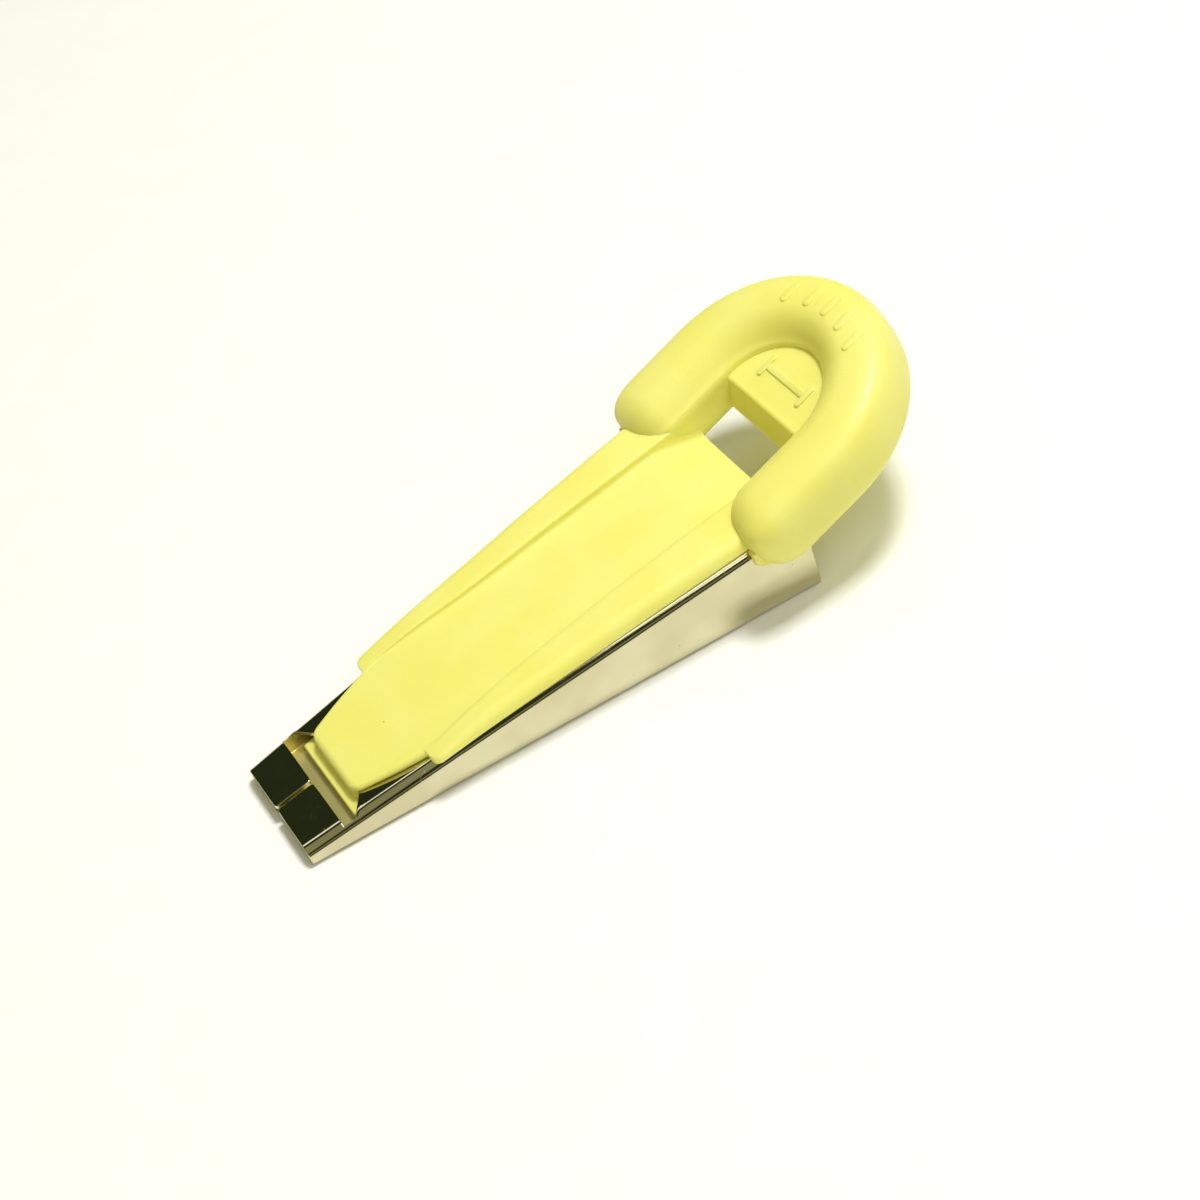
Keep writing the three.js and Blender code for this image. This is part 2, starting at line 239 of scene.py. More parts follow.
def front_lip_edge_at(station):
    from_corner = min(station, FRONT_LIP_LENGTH - station)
    if from_corner >= SLIT_CORNER:
        return SLIT_HALF_WIDTH
    rise = math.sqrt(SLIT_CORNER**2 - (SLIT_CORNER - from_corner) ** 2)
    return SLIT_HALF_WIDTH + SLIT_CORNER - rise


front_stations = [0, 0.12, 0.24, SLIT_CORNER]
front_stations += steps(SLIT_CORNER, FRONT_LIP_LENGTH - SLIT_CORNER, 4)[1:]
front_stations += [FRONT_LIP_LENGTH - 0.24, FRONT_LIP_LENGTH - 0.12, FRONT_LIP_LENGTH]
window_stations = steps(FRONT_LIP_LENGTH, REAR_LIP_START, 2)
rear_stations = steps(REAR_LIP_START, REAR_LIP_CORNER[0], 5)
rear_stations += steps(REAR_LIP_CORNER[0], FOLDER_LENGTH, 20)[1:]
channel_stations = front_stations + window_stations[1:] + rear_stations[1:]
print("stations along the channel:", len(channel_stations))


# %% Heights of the lip's two faces over any point in plan
def bend_height(station, y, inset):
    """Height of a face that is flat towards the middle and bends down to the wall."""
    bend = along(BEND_RADII, station)
    into_bend = y - (half_width_at(station) - bend)
    flat = lip_top_at(station) - inset
    if into_bend <= 0:
        return flat
    radius = bend - inset
    return flat - radius + math.sqrt(max(radius**2 - into_bend**2, 0))


LIP_SHARES = (0, 0.3, 0.6, 0.72, 0.79, 0.85, 0.9, 0.94, 0.975, 1)


def lip_rows(stations, edge_at, side, inset):
    """Rows of points from a lip's free edge to the line above the wall's inner face."""
    rows = []
    for station in stations:
        edge = edge_at(station)
        width = wall_inside_at(station) - edge
        ys = [edge + width * share for share in LIP_SHARES]
        rows.append([place(station, side * y, bend_height(station, y, inset)) for y in ys])
    return rows


# %% The skin of floor, walls and bends
def cut_angle_at(station):
    """Angle up the outer bend that lies right above the wall's inner face."""
    bend = along(BEND_RADII, station)
    return math.degrees(math.acos((bend - SHEET) / bend))


def channel_section(station, inset):
    """One side's outline from the upper bend, down the wall and in to the middle of the floor."""
    wall = half_width_at(station) - inset
    bend = along(BEND_RADII, station)
    top = lip_top_at(station) - bend
    outline = [(wall, top)] if inset else arc(wall - bend, top, bend, cut_angle_at(station), 0, 8)
    outline += [(wall, z) for z in steps(top, FLOOR_BEND_RADIUS, 4)[1:]]
    floor_radius = FLOOR_BEND_RADIUS - inset
    outline += arc(wall - floor_radius, FLOOR_BEND_RADIUS, floor_radius, 0, -90, 8)[1:]
    outline += [((wall - floor_radius) * share, inset) for share in (0.75, 0.5, 0.25, 0)]
    return outline


def channel_rows(inset, side):
    rows = []
    for station in channel_stations:
        outline = channel_section(station, inset)
        rows.append([place(station, side * y, z) for y, z in outline])
    return rows


print("the window cuts the bend at degrees:", round(cut_angle_at(FRONT_LIP_LENGTH), 1))


# %% Put the channel together
def lip_patch(bm, stations, edge_at, side):
    """Both faces of one lip and its free edge; returns the rows of the two faces."""
    top = lip_rows(stations, edge_at, side, 0)
    under = lip_rows(stations, edge_at, side, SHEET)
    grid_faces(bm, top)
    grid_faces(bm, under)
    grid_faces(bm, [[a[0], b[0]] for a, b in zip(top, under)])
    return top, under


def window_edge(bm, side):
    outside = channel_rows(0, side)
    inside = channel_rows(SHEET, side)
    first = channel_stations.index(FRONT_LIP_LENGTH)
    last = channel_stations.index(REAR_LIP_START)
    pairs = [[outside[i][0], inside[i][0]] for i in range(first, last + 1)]
    grid_faces(bm, pairs)


def end_outline(station, edge, side):
    """The cut end of the sheet on one side: out along the outer face and back along the inner."""
    ys = [edge + (wall_inside_at(station) - edge) * share for share in LIP_SHARES[:-1]]
    outer = [(y, bend_height(station, y, 0)) for y in ys]
    outer += channel_section(station, 0)
    inner = [(y, bend_height(station, y, SHEET)) for y in ys]
    inner += channel_section(station, SHEET)
    outline = outer + inner[::-1]
    return [place(station, side * y, z) for y, z in outline]


def steel_folder():
    bm = bmesh.new()
    for side in (1, -1):
        grid_faces(bm, channel_rows(0, side))
        grid_faces(bm, channel_rows(SHEET, side))
        window_edge(bm, side)
        front_top, front_under = lip_patch(bm, front_stations, front_lip_edge_at, side)
        lip_patch(bm, rear_stations, rear_lip_edge_at, side)
        grid_faces(bm, [front_top[-1], front_under[-1]])
        for station, edge_at in ((0, front_lip_edge_at), (FOLDER_LENGTH, rear_lip_edge_at)):
            outline = end_outline(station, edge_at(station), side)
            bm.faces.new([bm.verts.new(point) for point in outline])
    return finish_mesh(bm, "steel_folder", PRESSED_SMOOTH)


folder = steel_folder()
report(folder)

# %% [markdown]
# ## Broken edges on the sheet
# Sheared and plated sheet never has a knife edge: tumbling and plating leave a small round that
# catches a thin line of light. A Bevel modifier makes that round on every edge sharper than the
# bends' own steps, and a Weighted Normal modifier keeps the flat lips and walls truly flat.

# %% Bevel and weighted normals
def ease_edges(piece, width, segments, degrees):
    """Round every edge sharper than an angle, with the width in millimetres."""
    bevel = piece.modifiers.new("eased_edges", "BEVEL")
    bevel.width = width * MM
    bevel.segments = segments
    bevel.limit_method = "ANGLE"
    bevel.angle_limit = math.radians(degrees)
    bevel.use_clamp_overlap = False
    bevel.miter_outer = "MITER_ARC"
    normals = piece.modifiers.new("flat_faces", "WEIGHTED_NORMAL")
    normals.keep_sharp = True


ease_edges(folder, width=0.08, segments=3, degrees=50)
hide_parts("folder_shell")
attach(folder, "folder")

# %% [markdown]
# ## The guide cover
# The yellow moulding's front is one continuous shape: a tongue that ends in a rounded tip, a long
# recessed panel, and two rails that rise beside the panel and lie over the steel lips. It is made as
# one skin whose cross-section changes along the tool. Each section has the same list of points, so
# the rails can grow out of the tongue without a seam.

# %% Heights and widths along the cover
RUNNING_GAP = 0.1
TIP = 5.9
TIP_CORNER = 0.95
TIP_TOP_ROUND = 0.6
RAIL_START = 12.8
RAIL_NOSE = 0.75
RAMP_START = 44.4
PANEL_END = 49.6
PANEL_END_HEIGHT = 7.3
RAIL_TUCK = 0.49
TONGUE_TUCK = 0.05
RING_INNER_RADIUS = 5.6

TONGUE_HALF_WIDTHS = [[TIP, 4.35], [8.0, 5.05], [10.0, 5.65], [RAIL_START, 6.3]]
TONGUE_BROW_SHARE = 0.86
NOSE_BROW_SHARE = 0.92
NOSE_BLEND = 1.2
INNER_EDGE = [[RAIL_START, 6.3], [16.0, 6.12], [19.4, 5.9], [22.8, 5.65]]
INNER_EDGE += [[26.2, 5.6], [44.0, 5.6], [46.9, 5.63]]
PANEL_RISE = [[TIP, 0.5], [RAIL_START, 0.85], [22.0, 1.1], [RAMP_START, 1.05]]
RAIL_RISE = [[RAIL_START, 0.86], [14.2, 1.06], [16.0, 1.28], [19.4, 1.6]]
RAIL_RISE += [[26.2, 1.75], [33.0, 1.92], [49.8, 1.8]]
RAIL_OVERHANG = [[RAIL_START, 0.5], [18.0, 0.45], [30.0, 0.31], [45.0, 0.2]]
FOOT_REACH = [[RAIL_START, 0.9], [19.4, 0.7], [26.2, 0.3], [49.8, 0.3]]


def quarter_fall(distance, radius):
    """How far a rounded edge has dropped, at a distance from where the round begins."""
    if distance >= radius:
        return 0
    return radius - math.sqrt(radius**2 - (radius - max(distance, 0)) ** 2)


def panel_top_at(station):
    ramp_top = lip_top_at(RAMP_START) + along(PANEL_RISE, RAMP_START)
    if station > RAMP_START:
        share = (station - RAMP_START) / (PANEL_END - RAMP_START)
        return ramp_top + (PANEL_END_HEIGHT - ramp_top) * share
    return lip_top_at(station) + along(PANEL_RISE, station) - quarter_fall(station - TIP, TIP_TOP_ROUND)


def rail_top_at(station):
    if station < RAIL_START:
        return panel_top_at(station)
    return max(lip_top_at(station) + along(RAIL_RISE, station), panel_top_at(station))


def outer_edge_at(station):
    if station < RAIL_START:
        return along(TONGUE_HALF_WIDTHS, station) - quarter_fall(station - TIP, TIP_CORNER)
    past = station - RAIL_START
    full = half_width_at(station) + along(RAIL_OVERHANG, station)
    return full - quarter_fall(past, RAIL_NOSE)


def inner_edge_at(station):
    if station < RAIL_START:
        return outer_edge_at(station) * TONGUE_BROW_SHARE
    blend = min((station - RAIL_START) / NOSE_BLEND, 1)
    at_nose = along(TONGUE_HALF_WIDTHS, station) * NOSE_BROW_SHARE
    return along(INNER_EDGE, station) * blend + at_nose * (1 - blend)


print("tongue height at station 8, mm:", round(panel_top_at(8.0), 2))
print("rail height at the entry, mm:", round(rail_top_at(PANEL_END), 2))

# %% The cover's cross-section
CORE_START = 5.1
CORE_TOPS = [[CORE_START, 1.53], [PANEL_END, 6.85]]
CORE_OVERLAP = 0.05
STEM_START = REAR_LIP_CORNER[0] + 1
STEM_FRONT_HALF = 4.2
STEM_SIDE_GAP = 0.15
STEM_INSET = 0.1
EDGE_RADIUS = 1.2
TONGUE_EDGE_RADIUS = 0.45
BROW_RADIUS = 0.28
FOOT_SHARE = 0.55
LEAST_WALL = 0.01
LEAST_EDGE = 0.06


def straight(table, station):
    """The value at a station on the straight line through two [station, value] pairs."""
    (x0, v0), (x1, v1) = table
    return v0 + (v1 - v0) * (station - x0) / (x1 - x0)


def core_top_at(station):
    return straight(CORE_TOPS, station)


def stem_half_at(station, outer):
    if station < STEM_START:
        return min(STEM_FRONT_HALF, outer - STEM_INSET)
    return rear_lip_edge_at(station) - STEM_SIDE_GAP


def quarter_curve(corner, start, stop, reach, rise, count=4):
    """A quarter of an ellipse round a corner point, between two angles in degrees."""
    angles = [math.radians(degrees) for degrees in steps(start, stop, count)]
    return [(corner[0] + reach * math.cos(a), corner[1] + rise * math.sin(a)) for a in angles]


def panel_points(station, inner, panel, wall, brow):
    """From the middle of the panel to its foot, and up the rail's inner side to its brow."""
    reach = min(along(FOOT_REACH, station), wall * 2.5)
    rise = wall * FOOT_SHARE
    points = [((inner - reach) * share, panel) for share in (0, 0.2, 0.4, 0.6, 0.8)]
    points += quarter_curve((inner - reach, panel + rise), -90, 0, reach, rise)
    points += quarter_curve((inner + brow, panel + wall - brow), 180, 90, brow, brow)
    return points


def underside_at(station, top, width):
    """The outer edge's radius, the underside's height, and how far that tucks in below the edge."""
    over_lips = lip_top_at(station) + RUNNING_GAP
    on_rail = station >= RAIL_START
    edge = min(EDGE_RADIUS, (top - over_lips) * 0.7) if on_rail else TONGUE_EDGE_RADIUS
    edge = min(edge, width * 0.9)
    return edge, min(over_lips, top - edge - LEAST_EDGE), RAIL_TUCK if on_rail else TONGUE_TUCK


def underside_points(station, outer, tucked, bottom):
    """In under the rail to the stem, down the stem, and along its foot to the middle."""
    stem = stem_half_at(station, outer)
    foot = core_top_at(station) - CORE_OVERLAP
    points = [(tucked + (stem - tucked) * share, bottom) for share in (0.5, 1)]
    points += [(stem, z) for z in steps(bottom, foot, 2)[1:]]
    points += [(stem * share, foot) for share in (0.66, 0.33, 0)]
    return points


def cover_half_section(station):
    """From the middle of the panel, up and over the rail, under it, and down the stem to the middle."""
    panel, top = panel_top_at(station), rail_top_at(station)
    inner, outer = inner_edge_at(station), outer_edge_at(station)
    wall = max(top - panel, LEAST_WALL)
    crest = panel + wall
    brow = min(BROW_RADIUS, wall * 0.4)
    edge, bottom, tuck = underside_at(station, top, outer - inner)
    flat_start, flat_end = inner + brow, outer - edge
    drop = bottom + edge - top
    points = panel_points(station, inner, panel, wall, brow)
    points += [(flat_start + (flat_end - flat_start) * share, crest) for share in (0.25, 0.5, 0.75)]
    points += quarter_curve((flat_end, crest - edge), 90, 0, edge, edge, 8)
    points += [(outer - tuck * share, crest - edge + drop * share) for share in (0.5, 1)]
    points += underside_points(station, outer, outer - tuck, bottom)
    return points


def full_section(station):
    half = cover_half_section(station)
    mirror = [(-y, z) for y, z in half[1:-1]][::-1]
    return [place(station, y, z) for y, z in half + mirror]


cover_stations = [TIP + TIP_CORNER * (1 - math.cos(math.radians(a))) for a in steps(0, 90, 8)]
cover_stations += [7.3, 8.0, 8.8, 9.6, 10.4, 11.2, 12.0, 12.6, RAIL_START - 0.02]
cover_stations += [RAIL_START + RAIL_NOSE * (1 - math.cos(math.radians(a))) for a in steps(8, 90, 7)]
cover_stations += steps(14.2, RAMP_START, 24) + steps(RAMP_START, PANEL_END, 6)[1:]
print("stations along the cover:", len(cover_stations))


# %% The cover as one skin
cover = closed_skin("guide_cover", [full_section(station) for station in cover_stations])
report(cover)
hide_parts("guide_plate", "left_rail", "right_rail")
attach(cover, "guide")

# %% [markdown]
# ## The fold core
# Inside the channel the moulding carries a flat plate that keeps the tape's middle down while the
# lips turn its sides over. Only its front ledge shows in the window and its end shows through the
# ring. It is a tapered plate whose edges are rounded by a Bevel modifier, as a mould would round them.

# %% Fold core
CORE_HALF_WIDTHS = [[CORE_START, 5.25], [PANEL_END, 9.0]]
CORE_BOTTOMS = [[CORE_START, 0.9], [PANEL_END, 5.1]]


def core_section(station):
    half = straight(CORE_HALF_WIDTHS, station)
    bottom = straight(CORE_BOTTOMS, station)
    top = core_top_at(station)
    outline = [(half * share, bottom) for share in steps(-1, 1, 8)]
    outline += [(half * share, top) for share in steps(1, -1, 8)]
    return [place(station, y, z) for y, z in outline]


core_rows = [core_section(station) for station in steps(CORE_START, PANEL_END, 12)]
core = closed_skin("fold_core_plate", core_rows, PRESSED_SMOOTH)
ease_edges(core, width=0.16, segments=3, degrees=50)
report(core)
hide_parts("fold_core")
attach(core, "guide")

# %% [markdown]
# ## The pull ring
# The ring is a thick bar bent like a horseshoe, tilted up from the tool so that a finger fits under
# it. Its outer side is full and round. Its inner side is a flat wall under a soft brow. The bar's
# section is swept along the horseshoe, and at the two free ends the section shrinks along a quarter
# circle to a small end face, which gives the blunt round fronts that sit on the rails.

# %% The bar's section
RING_TILT = math.radians(18.5)
RING_CENTRE = (53.86, 10.84)
BAR_HALF_WIDTH = 3.68
BAR_HALF_HEIGHT = 3.55
SECTION_POWER = 3.2
BROW_POWER = 2.3
BROW_EDGE = 0.35
BROW_START = 1.1
LOWER_EDGE = 1.2
INNER_DEPTH = 2.85


def brow_height(reach):
    """Height of the bar's top at a distance inwards from its crest."""
    return BAR_HALF_HEIGHT - (BAR_HALF_HEIGHT - BROW_START) * (reach / BAR_HALF_WIDTH) ** BROW_POWER


def bar_outline():
    """Points round the bar, as distances outwards and upwards from its middle line."""
    power = 2 / SECTION_POWER
    outline = []
    for degrees in steps(-90, 90, 30):
        angle = math.radians(degrees)
        cos = abs(math.cos(angle)) ** power
        sin = math.copysign(abs(math.sin(angle)) ** power, math.sin(angle))
        outline.append((BAR_HALF_WIDTH * cos, BAR_HALF_HEIGHT * sin))
    outline += [(-reach, brow_height(reach)) for reach in steps(0, BAR_HALF_WIDTH - BROW_EDGE, 10)[1:]]
    crest = brow_height(BAR_HALF_WIDTH - BROW_EDGE)
    corner = (-BAR_HALF_WIDTH + BROW_EDGE, BROW_START - BROW_EDGE)
    outline += quarter_curve(corner, 90, 180, BROW_EDGE, crest - corner[1], 5)[1:]
    wall_foot = -INNER_DEPTH + LOWER_EDGE
    outline += [(-BAR_HALF_WIDTH, w) for w in steps(BROW_START - BROW_EDGE, wall_foot, 3)[1:]]
    outline += arc(-BAR_HALF_WIDTH + LOWER_EDGE, wall_foot, LOWER_EDGE, 180, 270, 5)[1:]
    outline.append((-BAR_HALF_WIDTH * 0.35, -INNER_DEPTH * 0.4 - BAR_HALF_HEIGHT * 0.6))
    return outline


outline = bar_outline()
print("points round the bar:", len(outline))

# %% The horseshoe path and the sweep
LEG_LENGTH = 9.85
END_ROUNDING = 3.4
END_FACE_ANGLE = 4
ARCH_THINNING = 0.16
OUTER_FULLNESS = 0.6
LOWER_ROUNDING = 0.5


def tilted(u, v, w):
    """A point of the ring's own tilted plane: u towards its end, v across, w up from the plane."""
    cos, sin = math.cos(RING_TILT), math.sin(RING_TILT)
    return place(RING_CENTRE[0] + u * cos - w * sin, v, RING_CENTRE[1] + u * sin + w * cos)


def horseshoe():
    """Stations as middle point, outward direction and the scale that rounds the free ends."""
    radius = RING_INNER_RADIUS + BAR_HALF_WIDTH
    leg = []
    for degrees in steps(END_FACE_ANGLE, 90, 12):
        angle = math.radians(degrees)
        leg.append((-LEG_LENGTH + END_ROUNDING * (1 - math.cos(angle)), math.sin(angle)))
    straight_part = steps(-LEG_LENGTH + END_ROUNDING, 0, 6)[1:-1]
    leg += [(u, 1) for u in straight_part]
    path = [((u, radius), (0, 1), scale) for u, scale in leg]
    for degrees in steps(90, -90, 40):
        du, dv = math.cos(math.radians(degrees)), math.sin(math.radians(degrees))
        path.append(((radius * du, radius * dv), (du, dv), 1))
    path += [((u, -radius), (0, -1), scale) for u, scale in leg[::-1]]
    return path


def share_of(value, low, high):
    return min(max((value - low) / (high - low), 0), 1)


def end_bluntness(r, w):
    """Exponent that keeps the outer side of a free end full, while its inner side rounds away."""
    outer = share_of(r, -1, BAR_HALF_WIDTH)
    low = share_of(-w, 0, BAR_HALF_HEIGHT)
    return 1 - OUTER_FULLNESS * outer * (1 - LOWER_ROUNDING * low)


def arch_reach(r, du):
    """The bar is a little thinner inwards at the end of the arch than along the legs."""
    return r * (1 - ARCH_THINNING * du**2) if r < 0 else r


def bar_row(outline, middle, outward, scale):
    row = []
    for r, w in outline:
        shrink = scale ** end_bluntness(r, w)
        reach = arch_reach(r, outward[0]) * shrink
        row.append(tilted(middle[0] + outward[0] * reach, middle[1] + outward[1] * reach, w * shrink))
    return row


ring = closed_skin("pull_ring_body", [bar_row(outline, *station) for station in horseshoe()])
report(ring)

# %% [markdown]
# ## Web, ribs and the room for the folder
# A web fills the arch of the ring and carries the width mark. Five low ribs give the thumb a grip.
# Each leg straddles a steel wall and ends in a small hook outside it, so room is cut in the leg for
# the sheet. On the real moulding these are all one body, so they are joined to the bar with exact
# Boolean operations, which leave one closed skin with nothing hidden inside it.

# %% Joining and cutting solids
def combined(piece, other, operation):
    """Apply one Boolean to a piece and drop the tool that made it."""
    boolean = piece.modifiers.new("joint", "BOOLEAN")
    boolean.object = other
    boolean.operation = operation
    boolean.solver = "EXACT"
    graph = bpy.context.evaluated_depsgraph_get()
    mesh = bpy.data.meshes.new_from_object(piece.evaluated_get(graph))
    piece.modifiers.clear()
    piece.data = mesh
    bpy.data.objects.remove(other)


# %% The web that fills the arch
WEB_FRONT_TOP = (53.5, 11.75)
WEB_FRONT_BOTTOM = (53.0, 8.67)
WEB_REACH = RING_INNER_RADIUS + 0.8
WEB_EDGE = 0.32


def web_row(front, height, setback):
    """A straight front and a half circle behind it, level with the ring's plane."""
    slope = math.tan(RING_TILT)
    row = []
    for degrees in steps(-90, 90, 24):
        angle = math.radians(degrees)
        back = WEB_REACH * math.cos(angle) * math.cos(RING_TILT)
        row.append(place(front + max(back, setback), WEB_REACH * math.sin(angle), height + slope * back))
    return row


def web_plate():
    (top_x, top_z), (low_x, low_z) = WEB_FRONT_TOP, WEB_FRONT_BOTTOM
    rows = [web_row(low_x, low_z, 0)]
    for degrees in steps(0, 90, 5):
        angle = math.radians(degrees)
        height = top_z - WEB_EDGE + WEB_EDGE * math.sin(angle)
        front = low_x + (top_x - low_x) * (height - low_z) / (top_z - low_z)
        rows.append(web_row(front, height, WEB_EDGE * (1 - math.cos(angle))))
    return closed_skin("web_plate", rows)


combined(ring, web_plate(), "UNION")
report(ring)

# %% Five low grip ribs across the top of the arch
RIB_PLACE = 10.1
RIB_SPACING = 2.4
RIB_COUNT = 5
RIB_HALF_LENGTH = 1.15
RIB_HALF_WIDTH = 0.42
RIB_RISE = 0.16
RIB_ROOT = 0.4
RIB_ROWS = ((-RIB_ROOT, 0), (RIB_RISE * 0.4, 0), (RIB_RISE * 0.8, 0.06), (RIB_RISE, 0.18))


def crown_height(u, v):
    """Height of the bar's top surface over a point of the ring's plane."""
    distance = math.hypot(u, v)
    r = distance - RING_INNER_RADIUS - BAR_HALF_WIDTH
    if r < 0:
        return brow_height(-r / (1 - ARCH_THINNING * (u / distance) ** 2))
    return BAR_HALF_HEIGHT * (1 - (r / BAR_HALF_WIDTH) ** SECTION_POWER) ** (1 / SECTION_POWER)


def rib(across):
    """One rib: a rounded bar laid over the crown, from inside it to a soft top edge."""
    centre = math.sqrt(RIB_PLACE**2 - across**2)
    rows = []
    for rise, inset in RIB_ROWS:
        row = []
        for degrees in steps(0, 360, 24)[:-1]:
            angle = math.radians(degrees)
            end = math.copysign(RIB_HALF_LENGTH - RIB_HALF_WIDTH, math.cos(angle))
            radius = RIB_HALF_WIDTH - inset
            u = centre + end + radius * math.cos(angle)
            v = across + radius * math.sin(angle)
            row.append(tilted(u, v, crown_height(u, v) + rise))
        rows.append(row)
    return closed_skin("grip_rib", rows)


for index in range(RIB_COUNT):
    combined(ring, rib((index - (RIB_COUNT - 1) / 2) * RIB_SPACING), "UNION")
report(ring)

# %% Snap hooks, and room for the folder's lips and walls
LEG_CLEARANCE = 10.85
FOLDER_END_GAP = 0.2
CEILING_GAP = RUNNING_GAP + 0.02
BELOW_TABLE = -1


def folder_room(side):
    """The space of one lip and one wall: from beside the stem to just outside the steel."""
    rows = []
    for station in (STEM_START, FOLDER_LENGTH + FOLDER_END_GAP):
        ceiling = lip_top_at(station) + CEILING_GAP
        stem = rear_lip_edge_at(station) - STEM_SIDE_GAP
        corners = [(stem, BELOW_TABLE), (LEG_CLEARANCE, BELOW_TABLE)]
        corners += [(LEG_CLEARANCE, ceiling), (stem, ceiling)]
        rows.append([place(station, side * y, z) for y, z in corners])
    return closed_skin("folder_room", rows)


HOOK_OUTLINE = ((44.2, 8.2), (44.22, 6.95), (44.7, 6.5), (45.8, 5.95), (47.0, 5.9), (47.0, 8.2))
HOOK_MIDDLE = (45.8, 7.2)
HOOK_ROWS = ((10.6, 1.0), (11.3, 1.0), (11.45, 0.92))


def snap_hook(side):
    """A small catch at the front lower corner of a leg, outside the wall, with a softened face."""
    rows = []
    for y, size in HOOK_ROWS:
        outline = [[middle + (value - middle) * size for value, middle in zip(point, HOOK_MIDDLE)]
                   for point in HOOK_OUTLINE]
        rows.append([place(x, side * y, z) for x, z in outline])
    return closed_skin("snap_hook", rows)


for side in (1, -1):
    combined(ring, snap_hook(side), "UNION")
    combined(ring, folder_room(side), "DIFFERENCE")
shade_by_angle(ring, MOULDED_SMOOTH)
report(ring)
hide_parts("pull_ring")
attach(ring, "guide")

# %% [markdown]
# ## The width mark
# Such tools carry a moulded mark for the width of tape they make. Here it is a plain dimension sign:
# a bar between two ticks, raised by less than a fifth of a millimetre, with soft edges like the rest
# of the moulding.

# %% Width mark
MARK_CENTRE = 56.3
MARK_HALF_SPAN = 3.0
MARK_TICK_HALF = 1.1
MARK_STROKE_HALF = 0.3
MARK_HEIGHT = 0.17
MARK_SOFT_EDGE = 0.12
MARK_ROOT = 0.06
MARK_LIFT = 0.02
TICK_REACH = MARK_TICK_HALF - MARK_STROKE_HALF


def mark_stroke(from_point, to_point, lift):
    """A raised stroke with round ends between two points of the web's top."""
    slope = math.tan(RING_TILT)
    start, stop = Vector(from_point), Vector(to_point)
    heading = (stop - start).normalized()
    turn = math.atan2(heading.y, heading.x)
    rows = []
    for degrees in [None] + steps(0, 90, 4):
        angle = math.radians(degrees or 0)
        radius = MARK_STROKE_HALF - MARK_SOFT_EDGE * (1 - math.cos(angle))
        rise = MARK_HEIGHT - MARK_SOFT_EDGE * (1 - math.sin(angle))
        rise = lift + (-MARK_ROOT if degrees is None else rise)
        row = []
        for around in steps(0, 360, 24)[:-1]:
            direction = math.radians(around)
            centre = stop if math.cos(direction) >= 0 else start
            x = centre.x + radius * math.cos(direction + turn)
            y = centre.y + radius * math.sin(direction + turn)
            row.append(place(x, y, WEB_FRONT_TOP[1] + slope * (x - WEB_FRONT_TOP[0]) + rise))
        rows.append(row)
    return closed_skin("width_mark_sign", rows)


mark = mark_stroke((MARK_CENTRE, -MARK_HALF_SPAN), (MARK_CENTRE, MARK_HALF_SPAN), 0)
for side in (1, -1):
    tick_y = side * MARK_HALF_SPAN
    tick_ends = [(MARK_CENTRE + end * TICK_REACH, tick_y) for end in (-1, 1)]
    combined(mark, mark_stroke(*tick_ends, MARK_LIFT), "UNION")
shade_by_angle(mark, MOULDED_SMOOTH)
report(mark)
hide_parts("width_mark")
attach(mark, "guide")

# %% [markdown]
# ## Effects as node groups
# The finishes share a few effects, each at its own scale: fine grain, worn edges and specks of dust.
# The steel adds hairline scratches and a mask for the inside of the channel, where the steel is
# rougher and a painted yellow reflection of the moulding is mixed into its colour. Each effect is a
# shader node group with named sockets, built once, that puts out only masks and heights. Positions
# inside a group are in millimetres, so a scale of 5 means five features to the millimetre.

# %% A helper that starts a group
def start_group(name, inputs, outputs):
    group = bpy.data.node_groups.new(name, "ShaderNodeTree")
    for label, default in inputs:
        socket = group.interface.new_socket(label, in_out="INPUT", socket_type="NodeSocketFloat")
        socket.default_value = default
    for label in outputs:
        group.interface.new_socket(label, in_out="OUTPUT", socket_type="NodeSocketFloat")
    entry = group.nodes.new("NodeGroupInput")
    leave = group.nodes.new("NodeGroupOutput")
    return group, entry, leave


def millimetres(group):
    coordinates = group.nodes.new("ShaderNodeTexCoord")
    scale = group.nodes.new("ShaderNodeVectorMath")
    scale.operation = "SCALE"
    scale.inputs["Scale"].default_value = 1 / MM
    group.links.new(coordinates.outputs["Object"], scale.inputs[0])
    return scale.outputs[0]


def band(group, value, low, high, to_low=0.0, to_high=1.0):
    """Map a range of a value smoothly to another range."""
    node = group.nodes.new("ShaderNodeMapRange")
    node.interpolation_type = "SMOOTHSTEP"
    node.inputs["From Min"].default_value = low
    node.inputs["From Max"].default_value = high
    node.inputs["To Min"].default_value = to_low
    node.inputs["To Max"].default_value = to_high
    group.links.new(value, node.inputs["Value"])
    return node.outputs["Result"]


def maths(group, operation, first, second):
    node = group.nodes.new("ShaderNodeMath")
    node.operation = operation
    for socket, value in zip(node.inputs, (first, second)):
        if isinstance(value, (int, float)):
            socket.default_value = value
        else:
            group.links.new(value, socket)
    return node.outputs[0]


# %% Moulding grain: the fine texture of an eroded mould
def grain_group():
    group, entry, leave = start_group("moulding_grain", [("Scale", 5.0)], ["Height", "Patches"])
    place_mm = millimetres(group)
    fine = group.nodes.new("ShaderNodeTexNoise")
    fine.inputs["Detail"].default_value = 3.0
    fine.inputs["Roughness"].default_value = 0.6
    group.links.new(place_mm, fine.inputs["Vector"])
    group.links.new(entry.outputs["Scale"], fine.inputs["Scale"])
    patches = group.nodes.new("ShaderNodeTexNoise")
    patches.inputs["Scale"].default_value = 0.16
    patches.inputs["Detail"].default_value = 2.0
    group.links.new(place_mm, patches.inputs["Vector"])
    group.links.new(fine.outputs["Fac"], leave.inputs["Height"])
    group.links.new(band(group, patches.outputs["Fac"], 0.35, 0.65), leave.inputs["Patches"])
    return group


